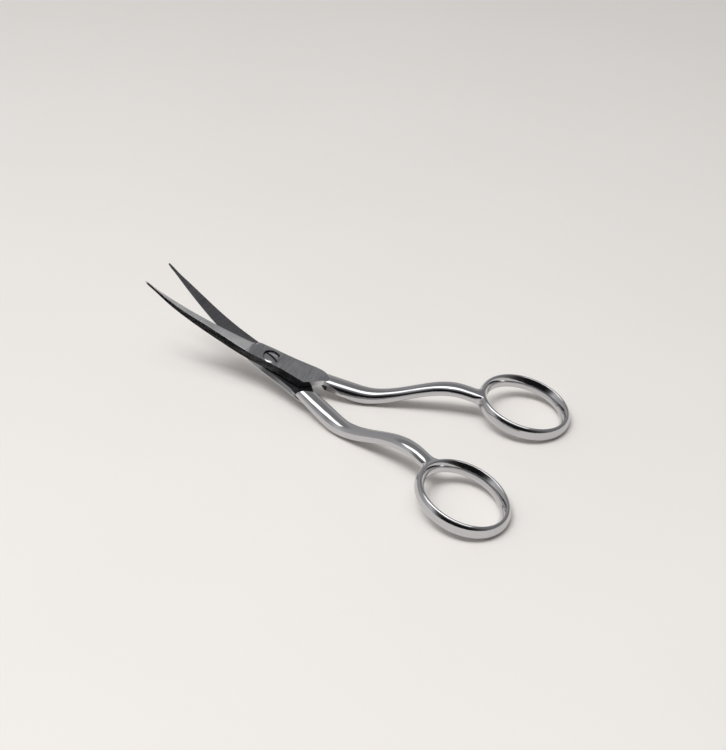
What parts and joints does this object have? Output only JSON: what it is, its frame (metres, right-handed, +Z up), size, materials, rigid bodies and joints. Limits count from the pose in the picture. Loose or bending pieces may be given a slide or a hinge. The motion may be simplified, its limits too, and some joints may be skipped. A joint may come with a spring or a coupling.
{
  "type": "curved scissors",
  "caption": "Small scissors with upward-curved pointed blades, cranked round handles and oval finger rings, opening on a slotted screw.",
  "frame": {"origin": "middle of the bounding box, on the table that the scissors lie on", "axes": "+X from the blade tips towards the finger rings, +Y towards the upper half's handle, +Z up from the table"},
  "size_m": [0.1452, 0.0784, 0.0372],
  "materials": {
    "upper_steel": "polished nickel plate on the handle and ring, fine-ground satin steel on the shank and blade",
    "lower_steel": "polished nickel plate on the handle and ring, fine-ground satin steel on the shank and blade",
    "screw_steel": "turned and polished steel"
  },
  "bodies": {
    "lower": {"lower_half": "lower_steel", "pivot_screw": "screw_steel"},
    "upper": {"upper_half": "upper_steel"}
  },
  "joints": [
    {"name": "pivot", "type": "hinge", "parent": "lower", "child": "upper", "pos_m": [-0.02781, 0, 0.01311], "axis": [0.2935, 0, 0.956], "range_deg": [-15.8, 74.2]}
  ]
}
